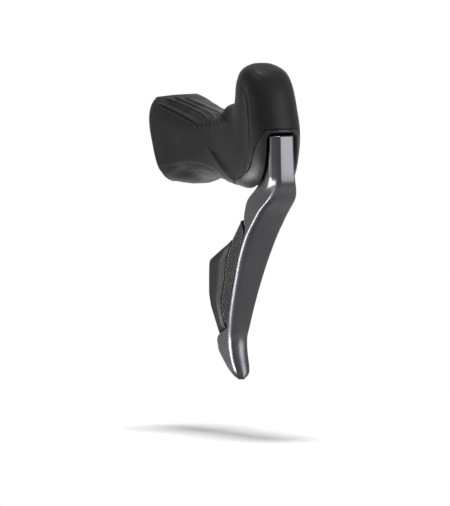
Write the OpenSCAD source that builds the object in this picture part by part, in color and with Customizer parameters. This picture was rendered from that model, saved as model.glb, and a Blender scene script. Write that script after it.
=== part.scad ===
// Electronic shift brake lever for a drop handlebar, right hand.
// +X is forward, +Y is the rider's left, +Z is up. The origin is the centre of the bar clamp.

/* [Handlebar clamp] */
// Radius of the handlebar that the clamp holds
bar_r = 12; // [11:0.1:13]
// Lean of the handlebar, its top towards the rear, in degrees
bar_lean = 20; // [0:1:30]
// Width of the clamp band along the bar
band_w = 14; // [8:1:20]
// Gap between the hood's rear rim and the bar
bar_gap = 0.3; // [0.1:0.1:1]
// Thickness of the clamp band
band_t = 1.4; // [1:0.1:2.5]
// Radius of the clamp bolt's shank
bolt_r = 2.5; // [2:0.1:3]

/* [Hood and body] */
// Distance from the bar to the turning point of the elbow
elbow_x = 64; // [50:1:80]
// Height of the turning point of the elbow
elbow_z = 34; // [28:1:40]
// Height of the horn's tip above the bar's centre
horn_top = 46.8; // [42:0.2:60]
// Half width of the hood at its rear
grip_half_w = 20; // [17:0.5:24]
// Half width of the head round the lever
head_half_w = 17; // [15:0.5:22]
// Wall of the rubber hood
hood_wall = 1.8; // [1:0.1:3]
// Clearance between two fixed pieces that fit into each other
fit = 0.1; // [0.05:0.05:0.3]
// Squareness of the grip's sections, 2 is an ellipse
square = 2.9; // [2:0.1:5]
// Size of the chamfer on the head's corners, 2 has none
chamfer = 1.5; // [1.4:0.02:2]

/* [Mouth of the head] */
// Half width of the slot that the lever's head swings in
mouth_half_w = 9.9; // [9:0.1:12]
// Height of the mouth's roof
mouth_roof = 12; // [10:0.5:15]
// Height of the rim's opening at the front of the mouth
rim_roof = 10.4; // [9:0.2:12]
// Top edge of the rigid rim, where the rubber hood begins
rim_top = 12.3; // [11:0.1:14]
// Where the mouth's rear wall stands, forward of the bar
mouth_back = 76; // [72:1:82]

/* [Electronics bay] */
// Rear end of the bay, forward of the bar
bay_x = 27; // [25:0.5:30]
// Length of the bay
bay_len = 28; // [24:1:30]
// Underside of the bay
bay_z = -9.5; // [-12:0.5:-8]
// Height of the bay
bay_h = 17.5; // [14:0.5:20]
// Depth of the bay, from its cover's outer face
bay_depth = 6.6; // [6:0.1:8]
// Distance of the cover's outer face from the hood's outside, where the bay ends
cover_sink = 3.9; // [3.8:0.1:6]
// Thickness of the circuit board
board_t = 1.4; // [1:0.1:2]
// Thickness of the bay's cover
cover_t = 1.8; // [1.2:0.1:2.4]
// Radius of the plugs in the wire ports
plug_r = 1.1; // [0.8:0.1:1.5]

/* [Brake lever] */
// Pivot of the lever, forward of the bar
pivot_x = 98; // [96:0.5:104]
// Pivot of the lever, above the bar's centre
pivot_z = 2.5; // [0:0.5:6]
// Radius of the lever's axle
axle_r = 2.5; // [2:0.1:3.5]
// Wall of the bushes round the axle
bush_t = 0.9; // [0.5:0.1:1.5]
// Wall of the lever's channel
blade_wall = 2; // [1.4:0.1:3]
// Half width of the lever's boss round the axle
boss_half_w = 6.4; // [5:0.2:9]
// Running clearance of a shaft in its bore
run = 0.05; // [0.02:0.01:0.08]

/* [Master cylinder] */
// Place of the cylinder's axis, forward of the bar
cyl_x = 84; // [82:0.5:88]
// Bore radius of the cylinder
cyl_r = 5; // [4:0.1:6]
// Distance from the cylinder's blind end to the horn's tip
cyl_roof = 8.8; // [8.6:0.1:12]
// Length of the piston
piston_len = 11; // [10:0.5:15]

/* [Hose port] */
// Radius of the hose that the port takes
hose_r = 2.5; // [2.4:0.05:2.6]
// Radius of the nut that holds the hose
hose_nut_r = 3.45; // [3.3:0.05:3.8]
// Length of the hose's nut
hose_nut_len = 12; // [10:1:12]
// Sideways place of the port's mouth
hose_y = 11.8; // [11.5:0.1:12]
// Place of the port's mouth along the bar
hose_z = -11; // [-12:0.5:-10.5]
// Turn of the port's axis outward, in degrees
hose_turn = 9; // [6:1:12]

/* [Shift paddles] */
// Where the paddles' pin crosses its reference height, forward of the bar
pin_x = 69; // [67:0.5:71]
// Reference height of the paddles' pin
pin_z = -66; // [-72:0.5:-60]
// Sideways place of the paddles' pin
pin_y = -3.2; // [-5:0.1:-2]
// Lean of the paddles' pin, its top forward, in degrees
pin_lean = 20; // [10:1:30]
// Radius of the paddles' pin
pin_r = 1.2; // [0.8:0.1:1.5]
// Thickness of a paddle's plate
paddle_t = 2; // [1.5:0.1:3]
// Distance of the plates' touch face from the pin
paddle_out = 4.8; // [4.5:0.1:6]
// Turn of the plates outward towards their rear edge, in degrees
paddle_turn = 6; // [0:1:12]
// Lean of the plates outward towards their top, in degrees
paddle_lean = 6.7; // [0:0.1:10]

/* [Hidden] */
$fn = 48;
ring_n = 24;
// Hood's grip stations: forward place, lean, top, bottom, share of the rear half width
grip_rows = [
  [0.6, 0.38, 26.5, -23.5, 1],
  [10, 0.3, 25.2, -22.4, 1],
  [21, 0.19, 22, -20.6, 0.96],
  [33, 0.1, 19.8, -18.6, 0.87],
  [45, 0.03, 19.2, -18.2, 0.81],
  [55, 0, 20.6, -18.6, 0.8]
];
// Elbow stations: angle from level, inner radius, outer radius, share of the head's half width
elbow_rows = [
  [-90, 11.2, 53.4, 0.95],
  [-76, 10.6, 56.4, 0.97],
  [-65, 10.2, 61, 0.99],
  [-54, 10, 63.8, 1],
  [-43, 10, 61, 1],
  [-31, 10, 53.6, 0.98],
  [-18, 10, 45, 0.95],
  [0, 10, 38.4, 0.9]
];
// Horn stations: share of its height, rear place, front place, share of the head's half width
horn_rows = [
  [0.38, 75.2, 100.8, 0.84],
  [0.66, 76.8, 98.4, 0.74],
  [0.88, 79.4, 95, 0.55],
  [1, 84, 90.6, 0.24]
];
body_in = hood_wall + fit;

// Seam between the hood and the rigid rim, seen from the side
rim_seam = [[80, -16.6], [89.3, -14.2], [96.4, -10.6], [99, -7.5], [100.8, -2.2], [102, 1.9],
  [103.6, 6.8], [104.4, 11.3]];

// Blade stations: height, front face, half width, depth of the flanks, front wall
blade_rows = [
  [8.3, 112, 5.1, 9.6, 2.2],
  [-5, 112.6, 5.2, 9.6, 2.2],
  [-13, 113.2, 5.4, 11.4, 2.2],
  [-17, 113.2, 5.7, 16, 2.2],
  [-20.2, 112.2, 6.4, 19.2, 2.2],
  [-25.9, 108, 8, 22.4, 2.2],
  [-32.9, 99.6, 8.8, 17.2, 2.2],
  [-37.7, 95, 8.9, 13.3, 2.2],
  [-41.5, 91.5, 9, 8.6, 2.2],
  [-46.2, 87.4, 9, 5.5, 2.2],
  [-54.5, 81.8, 8.7, 4.6, 2.2],
  [-61, 78, 8.3, 4.2, 2.2],
  [-68.4, 74.4, 7.7, 4.2, 2.2],
  [-78.4, 69.9, 7, 4.4, 2.4],
  [-92.2, 64.6, 6.1, 4.8, 4],
  [-98, 63, 5.6, 5.4, 4.8],
  [-101.5, 62.3, 5.4, 12.8, 12.2],
  [-104.8, 62, 5.2, 15.6, 15],
  [-108.6, 62.3, 5.1, 15, 14.4],
  [-113, 63.4, 4.9, 12.3, 11.7],
  [-117.4, 65, 4.7, 9.4, 8.8],
  [-121.5, 66.3, 4.2, 6.8, 6.2],
  [-124.2, 66.8, 3, 4.4, 3.8],
  [-125.3, 66.6, 1.6, 2.6, 2]
];
cyl_top = horn_top - cyl_roof;
bush_end = mouth_half_w - 0.1;
axle_half = mouth_half_w + 2.3;
screw_places = [[98, -27.5], [90, -35.4]];
reach_x = pivot_x + 5;
arm_x = cyl_x;
cam_r = 3.2;
piston_z = 18;
rod_r = 1.9;
screw_r = 1.2;
cover_screw_r = 1.05;
bay_mid = bay_z + bay_h / 2 - 0.7;
cover_y = cover_sink - grip_rows[5][4] * grip_half_w;
bay_floor = cover_y + bay_depth;
board_y = bay_floor - 0.2 - board_t;
port_mid = bay_x + bay_len / 2;
port_y = (board_y + cover_y + cover_t) / 2;
rod_foot = pivot_z + cam_r + 0.05;
pin_up = 15;
pin_down = -9;
front_barrel = [5.2, 10.4];
rear_barrel = [-4.6, 4.6];
ear_t = 2.4;
arm_t = 2.4;
housing_y = 0.4;
housing_t = 4.1;

// How far a cut runs past the face that it opens, and a length that reaches past everything
over = 1;
past = 40;
// Clearance of a piece that is pressed into its place
press = 0.02;

// Band's legs and loops, its pins, and the yoke and bolt that draw it tight, forward along the bar's own frame
band_leg = 17;
strap_len = 5;
loop_r = 3;
loop_gap = 7.2;
band_pin_r = 1.5;
band_pin_x = 20;
band_pin_y = bar_r + band_t - loop_r;
yoke_x = 17.4;
yoke_len = 5.6;
yoke_w = 7;
yoke_loop_r = 2.8;
yoke_room = [16, 9.5, 1.2];
leg_room = [-5, 25];
bolt_x = 17;
bolt_len = 15.5;
bolt_bore_len = 20;
bolt_head_x = 32;
bolt_head_r = 4.3;
bolt_head_t = 5;
bolt_head_room = 0.3;
bolt_hex_x = 34.2;
bolt_hex_r = 2.4;

// Hose's way behind its nut, and the port's mouth forward of the bar
hose_mouth_x = 18;
hose_way = 24;
hose_slack = 0.4;

// Reach screw: radii of its shank and head, lengths, and how deep its bore goes into the roof
reach_r = 1.5;
reach_head_r = 2.4;
reach_len = 7.6;
reach_head_len = 2.3;
reach_hex_r = 1;
reach_bore = 5.4;

// Lever's boss and arm, and the screw in the axle's end
boss_r = 6;
arm_half_w = 4;
web_half = 5.5;
web_front = 110.5;
axle_cap = 1.6;
axle_hex_r = 1.2;
axle_hex_depth = 0.9;

// Master cylinder: heights along the piston, the waist that its seals sit on, the rod's seat and the top bore
piston_foot = 2.6;
piston_mid = [4.6, 3.4];
piston_cap = 1.2;
waist = 1.6;
rod_seat = 4;
seal_t = 1.7;
lower_seal_z = 2.7;
upper_seal_z = 8.05;
seat_gap = 0.05;
spring_r = 3.4;
spring_wire = 0.4;
spring_turns = 3;
top_bore_r = 2.5;
top_plug_len = 2.6;
top_plug_hole_r = 0.8;
bleed_len = 3;
bleed_hex_r = 1.3;
bleed_hex_z = 1.4;

// Electronics: room round the board, the cover's screws, the port block and its plugs along the bay
board_room = 1;
cover_screw_in = 2.5;
port_block_len = 16;
port_block_h = 9;
port_block_up = 3.5;
port_apart = 8;
plug_up = 2;
plug_len = 6;

// Paddles: wall of the barrel, the web behind the plate, and the switches and springs beside it
barrel_wall = 0.8;
web_t = 2.6;
web_from = 1.4;
web_in = 0.4;
switch_size = 2.4;
switch_back = 5.4;
ear = [-2.6, -1.6, 4];
pin_end = 0.2;
spring_gap = 0.1;
paddle_spring_wire = 0.3;
paddle_spring_len = 1.8;
paddle_spring_turns = 2;

// Outlines in forward place and height: the paddles' plates, and the spine that fills the blade's channel
front_outline = [[80.5, -38.4], [81.6, -43.4], [81.1, -46.3], [76.5, -54.5], [73.2, -61.2], [69.6, -68.6],
  [65.1, -78.7], [59.6, -92.6], [58.3, -96.4], [55.9, -96], [55.3, -92.6], [54.4, -87.3], [54.9, -83.5],
  [57.2, -78.4], [59.5, -73], [60.8, -67.9], [62.4, -62], [65.5, -56.7], [70.4, -49.6], [77.9, -41.4]];
rear_outline = [[69.8, -49.8], [64.9, -56.9], [61.8, -62.2], [60.2, -68], [58.9, -73.2], [56.6, -78.6],
  [54.3, -83.5], [53.8, -87.3], [54.7, -92.6], [55.3, -96.4], [56.2, -97.4], [57.3, -98.2], [50.6, -101.4],
  [49.6, -101.2], [44.4, -86.8], [43.8, -80.3], [46.5, -64.2], [47.5, -61.8], [50.3, -60.1]];
spine_outline = [[102.5, -24.5], [97.5, -30], [92.2, -35], [88.2, -39], [83.6, -46.6], [77.8, -54.6],
  [74.2, -61], [70.6, -68.4], [66.8, -76.5], [62.4, -75], [62.6, -68], [66, -58], [73, -51], [79, -44.5],
  [86, -34], [94, -24.5]];

// Squareness that the head adds, and what the grip's rear adds at the far top and at the bottom
head_square = 4;
rear_top_square = 1.3;
rear_low_square = 1.6;
rear_reach = 40;
grip_cut = 3;

function soft_step(x) = let (v = max(0, min(1, x))) v * v * (3 - 2 * v);

// Point at angle t of a unit outline: a rounded square with exponent n, its corners cut where |a| + |b| is cut
function corner(t, n, cut) = let (a = abs(cos(t)), b = abs(sin(t)))
  [cos(t), sin(t)] / pow(pow(a, n) + pow(b, n) + pow((a + b) / cut, n), 1 / n);

// Exponent of the grip's outline: squarer towards the rear, at the far top and at the bottom
function grip_power(t, rear) = square
  + rear * rear_top_square * soft_step(2 * cos(t)) * soft_step(2 * sin(t))
  + rear * rear_low_square * soft_step(-2 * sin(t));

// Ring of the grip at one station, taken in by d
function grip_ring(s, d) =
  let (mid = (s[2] + s[3]) / 2, h = (s[2] - s[3]) / 2 - d, w = s[4] * grip_half_w - d) [
  for (i = [0:ring_n - 1])
    let (t = 360 * i / ring_n, rear = max(0, 1 - s[0] / rear_reach))
    let (p = corner(t, grip_power(t, rear), grip_cut), z = mid + h * p[1])
      [s[0] - s[1] * z, w * p[0], z]
];

// Ring of the elbow at one station, taken in by d
function elbow_ring(s, d) =
  let (mid = (s[1] + s[2]) / 2, h = (s[2] - s[1]) / 2 - d, w = s[3] * head_half_w - d) [
  for (i = [0:ring_n - 1]) let (p = corner(360 * i / ring_n, square + head_square, chamfer), r = mid - h * p[1])
    [elbow_x + r * cos(s[0]), w * p[0], elbow_z + r * sin(s[0])]
];

// Ring of the horn at one station, taken in by d
function horn_ring(s, d) =
  let (mid = (s[1] + s[2]) / 2, h = (s[2] - s[1]) / 2 - d, w = s[3] * head_half_w - d) [
  for (i = [0:ring_n - 1]) let (p = corner(360 * i / ring_n, square + head_square, chamfer))
    [mid - h * p[1], w * p[0], elbow_z + s[0] * (horn_top - elbow_z - d)]
];

// All rings of the hood's form, taken in by d
function form_rings(d) = concat(
  [for (s = grip_rows) grip_ring(s, d)],
  [for (s = elbow_rows) elbow_ring(s, d)],
  [for (s = horn_rows) horn_ring(s, d * 0.8)]
);

// Side faces between rings, wound for an outer skin, or the other way for an inner one
function side_faces(rows, n, start, flip) = [
  for (i = [0:rows - 2], j = [0:n - 1], k = [0, 1])
    let (a = start + i * n + j, b = start + i * n + (j + 1) % n, c = b + n, e = a + n)
      let (f = k == 0 ? [c, b, a] : [e, c, a]) flip ? [f[2], f[1], f[0]] : f
];

function upward(n, start) = [for (j = [0:n - 1]) start + j];
function downward(n, start) = [for (j = [0:n - 1]) start + n - 1 - j];

// Closed solid through a list of rings
module skin(rings) {
  n = len(rings[0]);
  rows = len(rings);
  polyhedron(
    points = [for (r = rings, p = r) p],
    faces = concat(side_faces(rows, n, 0, false), [upward(n, 0)], [downward(n, (rows - 1) * n)])
  );
}

// Shell between two lists of rings, open at the first ring, closed or open at the last
module shell(outer, inner, closed) {
  n = len(outer[0]);
  rows = len(outer);
  far = rows * n;
  last = (rows - 1) * n;
  rim = [for (j = [0:n - 1], k = [0, 1]) let (a = j, b = (j + 1) % n)
    k == 0 ? [a, b, far + b] : [a, far + b, far + a]];
  end_rim = [for (j = [0:n - 1], k = [0, 1]) let (a = last + j, b = last + (j + 1) % n)
    k == 0 ? [far + b, b, a] : [far + a, far + b, a]];
  ends = closed ? [downward(n, last), upward(n, far + last)] : end_rim;
  polyhedron(
    points = concat([for (r = outer, p = r) p], [for (r = inner, p = r) p]),
    faces = concat(side_faces(rows, n, 0, false), side_faces(rows, n, far, true), rim, ends)
  );
}

// Flat outline in the XZ plane, drawn out sideways from y0 to y1
module side_plate(pts, y0, y1) {
  translate([0, y1, 0])
    rotate([90, 0, 0])
      linear_extrude(y1 - y0)
        polygon(pts);
}

// Rod along Y
module cross_rod(x, z, r, y0, y1) {
  translate([x, y1, z])
    rotate([90, 0, 0])
      cylinder(r = r, h = y1 - y0);
}

// Rod along X, on the axis of the clamp's bolt
module forward_rod(x, r, long) {
  translate([x, 0, 0])
    rotate([0, 90, 0])
      cylinder(r = r, h = long);
}

// Rods in both loops of the clamp's band, along the bar
module loop_rods(r, long) {
  for (s = [-1, 1])
    translate([band_pin_x, s * band_pin_y, 0])
      cylinder(r = r, h = long, center = true);
}

// Places a child in the clamp's frame, its Z along the bar
module at_bar() {
  rotate([0, -bar_lean, 0])
    children();
}

// Places a child in the paddle pin's frame, its Z along the pin
module at_pin() {
  translate([pin_x, pin_y, pin_z])
    rotate([0, pin_lean, 0])
      children();
}

// Places a child at the hose's port, in the clamp's frame, its Z into the body
module at_hose() {
  translate([hose_mouth_x, hose_y, hose_z])
    rotate([0, 0, -hose_turn])
      rotate([0, 90, 0])
        children();
}

// Region in front of the hood's front edge
module front_region() {
  side_plate(concat(rim_seam, [[rim_seam[len(rim_seam) - 1][0], rim_top], [130, rim_top], [130, -40],
    [rim_seam[0][0], -40]]),
    -30, 30);
}

// Region that the mouth takes out of the head
module mouth_region(roof) {
  side_plate([[130, roof], [mouth_back, roof], [mouth_back, -5], [mouth_back - 4, -40], [130, -40]],
    -mouth_half_w, mouth_half_w);
}

module bracket_body() {
  color("#2a2a2c")
    difference() {
      skin(form_rings(body_in));
      at_bar() {
        cylinder(r = bar_r, h = 2 * past, center = true);
        for (s = [-1, 1])
          translate([leg_room[0], s * (bar_r + band_t / 2) - band_t / 2 - fit, -band_w / 2 - fit])
            cube([leg_room[1], band_t + 2 * fit, band_w + 2 * fit]);
        translate([yoke_room[0], -bar_r - band_t - yoke_room[2], -(band_w + yoke_room[2]) / 2])
          cube([yoke_room[1], 2 * (bar_r + band_t + yoke_room[2]), band_w + yoke_room[2]]);
        forward_rod(band_pin_x, bolt_r + run, bolt_bore_len);
        forward_rod(bolt_head_x, bolt_head_r + bolt_head_room, past);
        at_hose() {
          cylinder(r = hose_nut_r, h = hose_nut_len + fit);
          translate([0, 0, -hose_way])
            cylinder(r = hose_r + hose_slack, h = hose_way + over);
        }
      }
      mouth_region(mouth_roof);
      translate([cyl_x, 0, mouth_roof - over])
        cylinder(r = cyl_r, h = cyl_top - mouth_roof + over);
      translate([cyl_x, 0, cyl_top - over])
        cylinder(r = top_bore_r, h = past);
      cross_rod(pivot_x, pivot_z, axle_r, -axle_half, past);
      translate([bay_x, bay_floor - past, bay_z])
        cube([bay_len, past, bay_h]);
      translate([reach_x, 0, 0])
        cylinder(r = reach_r + run, h = mouth_roof + reach_bore);
    }
}

module hood_cover() {
  color("#1c1c1d")
    difference() {
      shell(form_rings(0), form_rings(hood_wall), true);
      front_region();
      mouth_region(-10);
      at_bar()
        cylinder(r = bar_r + bar_gap, h = 2 * past, center = true);
    }
}

module front_frame() {
  outer = [for (i = [0:6]) elbow_ring(elbow_rows[i], 0)];
  inner = [for (i = [0:6]) elbow_ring(elbow_rows[i], hood_wall)];
  color("#202022")
    difference() {
      intersection() {
        shell(outer, inner, false);
        translate([fit, 0, -fit])
          front_region();
      }
      mouth_region(rim_roof);
    }
}

module clamp_band() {
  color("#3a3c40")
    at_bar()
      difference() {
        union() {
          difference() {
            cylinder(r = bar_r + band_t, h = band_w, center = true);
            cylinder(r = bar_r, h = band_w + 2 * over, center = true);
            translate([0, -past / 2, -past / 2])
              cube(past);
          }
          for (s = [-1, 1])
            translate([0, s * (bar_r + band_t / 2) - band_t / 2, -band_w / 2])
              cube([band_leg, band_t, band_w]);
          difference() {
            loop_rods(loop_r, band_w);
            translate([band_pin_x - 2 * loop_r, -past, -loop_gap / 2])
              cube([4 * loop_r, 2 * past, loop_gap]);
          }
          for (s = [-1, 1], t = [-1, 1])
            translate([band_pin_x - strap_len, s * (bar_r + band_t / 2) - band_t / 2,
              t * (band_w + loop_gap) / 4 - (band_w - loop_gap) / 4])
              cube([strap_len, band_t, (band_w - loop_gap) / 2]);
        }
        loop_rods(band_pin_r + run, band_w + 2 * over);
      }
}

module band_pins() {
  color("#9a9da2")
    at_bar()
      loop_rods(band_pin_r, band_w);
}

module clamp_yoke() {
  color("#55585d")
    at_bar()
      difference() {
        union() {
          translate([yoke_x, -band_pin_y, -yoke_w / 2])
            cube([yoke_len, 2 * band_pin_y, yoke_w]);
          loop_rods(yoke_loop_r, yoke_w);
        }
        loop_rods(band_pin_r + run, yoke_w + 2 * over);
        forward_rod(0, bolt_r + run, past);
      }
}

module clamp_bolt() {
  color("#8c8f94")
    at_bar()
      difference() {
        union() {
          forward_rod(bolt_x, bolt_r, bolt_len);
          forward_rod(bolt_head_x, bolt_head_r, bolt_head_t);
        }
        forward_rod(bolt_hex_x, bolt_hex_r, past, $fn = 6);
      }
}

// Ring of the blade: outer outline from the near flank round the front, then the channel back
function blade_ring(s) =
  let (x = s[1], w = s[2], d = s[3], f = s[4], t = min(blade_wall, w * 0.45), c = w * 0.28) [
  [x - d, -w, s[0]], [x - c, -w, s[0]], [x - c * 0.3, -w + c * 0.7, s[0]], [x, -w * 0.45, s[0]],
  [x + 0.3, 0, s[0]], [x, w * 0.45, s[0]], [x - c * 0.3, w - c * 0.7, s[0]], [x - c, w, s[0]], [x - d, w, s[0]],
  [x - d, w - t, s[0]], [x - max(f, c), w - t, s[0]], [x - f, w - t - 0.3, s[0]], [x - f, w * 0.3, s[0]],
  [x - f, 0, s[0]], [x - f, -w * 0.3, s[0]], [x - f, -w + t + 0.3, s[0]], [x - max(f, c), -w + t, s[0]],
  [x - d, -w + t, s[0]]
];

// Closed channel solid: its ends are strips between the outer and the inner outline
module channel(rings) {
  n = len(rings[0]);
  rows = len(rings);
  last = (rows - 1) * n;
  low = [for (k = [0:n / 2 - 2]) [k, k + 1, n - 2 - k, n - 1 - k]];
  high = [for (q = low) [last + q[3], last + q[2], last + q[1], last + q[0]]];
  polyhedron(
    points = [for (r = rings, p = r) p],
    faces = concat(side_faces(rows, n, 0, true), high, low)
  );
}

module brake_lever() {
  color("#4a4b50")
    difference() {
      union() {
        channel([for (s = blade_rows) blade_ring(s)]);
        cross_rod(pivot_x, pivot_z, boss_r, -boss_half_w, boss_half_w);
        side_plate([[pivot_x, pivot_z + web_half], [web_front, 8], [web_front, -6],
          [pivot_x, pivot_z - web_half], [arm_x, pivot_z - cam_r], [arm_x, pivot_z],
          [arm_x + 3.4, pivot_z + 1]], -arm_half_w, arm_half_w);
        cross_rod(arm_x, pivot_z, cam_r, -arm_half_w, arm_half_w);
      }
      cross_rod(pivot_x, pivot_z, axle_r + bush_t + press / 2, -past, past);
      for (p = screw_places)
        cross_rod(p[0], p[1], screw_r + run, 4, 12);
    }
}

module lever_axle() {
  color("#a8abb0")
    cross_rod(pivot_x, pivot_z, axle_r - run, fit - axle_half, axle_half - axle_cap);
}

module axle_bushes() {
  color("#2b2b2d")
    for (s = [-1, 1])
      difference() {
        cross_rod(pivot_x, pivot_z, axle_r + bush_t, s > 0 ? 2 : -bush_end, s > 0 ? bush_end : -2);
        cross_rod(pivot_x, pivot_z, axle_r, -past, past);
      }
}

module axle_screw() {
  color("#77797d")
    difference() {
      cross_rod(pivot_x, pivot_z, axle_r - press, axle_half - axle_cap, axle_half);
      cross_rod(pivot_x, pivot_z, axle_hex_r, axle_half - axle_hex_depth, axle_half + over, $fn = 6);
    }
}

module reach_screw() {
  color("#8c8f94")
    translate([reach_x, 0, mouth_roof - reach_head_len - fit])
      difference() {
        union() {
          cylinder(r = reach_r, h = reach_len);
          cylinder(r = reach_head_r, h = reach_head_len);
        }
        translate([0, 0, -over])
          cylinder(r = reach_hex_r, h = 1.4 + over, $fn = 6);
      }
}

module push_rod() {
  color("#9a9da2")
    translate([cyl_x, 0, rod_foot])
      cylinder(r = rod_r, h = piston_z + rod_seat - rod_foot);
}

module master_piston() {
  color("#c9c2a8")
    translate([cyl_x, 0, piston_z])
      difference() {
        union() {
          cylinder(r = cyl_r - run, h = piston_foot);
          cylinder(r = cyl_r - waist, h = piston_len);
          translate([0, 0, piston_mid[0]])
            cylinder(r = cyl_r - run, h = piston_mid[1]);
          translate([0, 0, piston_len - piston_cap])
            cylinder(r = cyl_r - run, h = piston_cap);
        }
        translate([0, 0, -over])
          cylinder(r = rod_r + run, h = rod_seat + over);
      }
}

module seal_ring(z) {
  translate([cyl_x, 0, z])
    difference() {
      cylinder(r = cyl_r - press, h = seal_t);
      translate([0, 0, -over])
        cylinder(r = cyl_r - waist, h = seal_t + 2 * over);
    }
}

module primary_seal() {
  color("#181818")
    seal_ring(piston_z + upper_seal_z);
}

module secondary_seal() {
  color("#181818")
    seal_ring(piston_z + lower_seal_z);
}

// Coil of round wire that stands on z = 0
module coil(r, wire, height, turns) {
  steps = turns * 14;
  skin([for (i = [0:steps]) let (t = 360 * turns * i / steps, z = wire + (height - 2 * wire) * i / steps)
    [for (j = [0:6]) let (q = -360 * j / 7, out = r + wire * cos(q))
      [out * cos(t), out * sin(t), z + wire * sin(q)]]]);
}

module piston_spring() {
  color("#b9bcc1")
    translate([cyl_x, 0, piston_z + piston_len + seat_gap])
      coil(spring_r, spring_wire, cyl_top - piston_z - piston_len - 2 * seat_gap, spring_turns);
}

module cylinder_plug() {
  color("#55585d")
    translate([cyl_x, 0, cyl_top])
      difference() {
        cylinder(r = top_bore_r - press, h = top_plug_len);
        translate([0, 0, -over])
          cylinder(r = top_plug_hole_r, h = top_plug_len + 2 * over);
      }
}

module bleed_screw() {
  color("#8c8f94")
    translate([cyl_x, 0, cyl_top + top_plug_len + fit])
      difference() {
        cylinder(r = top_bore_r - press, h = bleed_len);
        translate([0, 0, bleed_hex_z])
          cylinder(r = bleed_hex_r, h = bleed_len, $fn = 6);
      }
}

module hose_nut() {
  color("#77797d")
    at_bar()
      at_hose()
        difference() {
          cylinder(r = hose_nut_r - press, h = hose_nut_len);
          translate([0, 0, -over])
            cylinder(r = hose_r, h = hose_nut_len - over);
        }
}

module circuit_board() {
  color("#1f5a38")
    translate([bay_x + board_room, board_y, bay_z + board_room])
      cube([bay_len - 2 * board_room, board_t, bay_h - 2 * board_room]);
}

// Places of the bay's two screws along the hood
function cover_screw_xs() = [bay_x + cover_screw_in, bay_x + bay_len - cover_screw_in];

module board_cover() {
  color("#26282a")
    difference() {
      translate([bay_x + fit, cover_y, bay_z + fit])
        cube([bay_len - 2 * fit, cover_t, bay_h - 2 * fit]);
      for (x = cover_screw_xs())
        cross_rod(x, bay_mid, cover_screw_r + run, -past, 0);
    }
}

module cover_screws() {
  color("#8c8f94")
    for (x = cover_screw_xs()) {
      cross_rod(x, bay_mid, cover_screw_r, cover_y - fit, board_y - fit);
      cross_rod(x, bay_mid, 2 * cover_screw_r, cover_y - 0.9, cover_y - seat_gap);
    }
}

module port_block() {
  color("#202124")
    difference() {
      translate([port_mid - port_block_len / 2, cover_y + cover_t + fit, bay_z + port_block_up])
        cube([port_block_len, board_y - cover_y - cover_t - 2 * fit, port_block_h]);
      port_rods(plug_r, -past, bay_z + 10.5);
    }
}

// Two rods up the wire ports
module port_rods(r, z0, z1) {
  for (s = [-1, 1])
    translate([port_mid + s * port_apart / 2, port_y, z0])
      cylinder(r = r, h = z1 - z0);
}

module port_plugs() {
  color("#101011")
    port_rods(plug_r - press, bay_z + plug_up, bay_z + plug_up + plug_len);
}

// Spine in the lever's channel that carries the switches and holds the paddles' pin
module switch_housing() {
  color("#232427")
    difference() {
      union() {
        side_plate(spine_outline, housing_y, housing_y + housing_t);
        at_pin()
          for (z = [pin_down, pin_up - ear_t])
            translate([ear[0], ear[1], z])
              cube([ear[2], housing_y - pin_y + 2, ear_t]);
      }
      at_pin()
        cylinder(r = pin_r + press, h = 2 * past, center = true);
    }
}

module housing_screws() {
  color("#8c8f94")
    for (p = screw_places)
      cross_rod(p[0], p[1], screw_r, housing_y + housing_t + press, 8);
}

module paddle_pin() {
  color("#a8abb0")
    at_pin()
      translate([0, 0, pin_down - pin_end])
        cylinder(r = pin_r, h = pin_up - pin_down + 2 * pin_end);
}

// Plate of a paddle, from its outline in its own leaning plane
module plate(pts) {
  translate([pin_x, pin_y - paddle_out, pin_z])
    rotate([paddle_lean, 0, paddle_turn])
      translate([-pin_x, 0, -pin_z])
        side_plate(pts, 0, paddle_t);
}

// Barrel round the pin, with an arm back to a web that reaches out to the plate
module barrel(span, reach) {
  long = span[1] - span[0];
  at_pin()
    translate([0, 0, span[0]])
      difference() {
        union() {
          cylinder(r = pin_r + barrel_wall, h = long);
          translate([-reach, -web_from, 0])
            cube([reach - 0.9, arm_t, long]);
          translate([-reach, -paddle_out - web_in, 0])
            cube([web_t, paddle_out + web_in - web_from + arm_t, long]);
        }
        translate([0, 0, -over])
          cylinder(r = pin_r + run, h = long + 2 * over);
      }
}

module front_paddle() {
  color("#1b1b1d")
    union() {
      plate(front_outline);
      barrel(front_barrel, 5);
    }
}

module rear_paddle() {
  color("#1d1d1f")
    union() {
      plate(rear_outline);
      barrel(rear_barrel, 15.4);
    }
}

module tact_switches() {
  color("#c0c2c6")
    for (z = [front_barrel[0] + 1.5, rear_barrel[0] + 2])
      at_pin()
        translate([-switch_back, arm_t - 1, z])
          cube([switch_size, housing_y - pin_y - arm_t + 1 - press, switch_size]);
}

module paddle_springs() {
  color("#b9bcc1")
    for (z = [pin_down + ear_t, front_barrel[1]])
      at_pin()
        translate([0, 0, z + spring_gap])
          coil(pin_r + 0.45, paddle_spring_wire, paddle_spring_len, paddle_spring_turns);
}

bracket_body();
hood_cover();
front_frame();
clamp_band();
band_pins();
clamp_yoke();
clamp_bolt();
brake_lever();
lever_axle();
axle_bushes();
axle_screw();
reach_screw();
push_rod();
master_piston();
primary_seal();
secondary_seal();
piston_spring();
cylinder_plug();
bleed_screw();
hose_nut();
circuit_board();
board_cover();
cover_screws();
port_block();
port_plugs();
switch_housing();
housing_screws();
paddle_pin();
front_paddle();
rear_paddle();
tact_switches();
paddle_springs();
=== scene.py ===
import math

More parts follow.
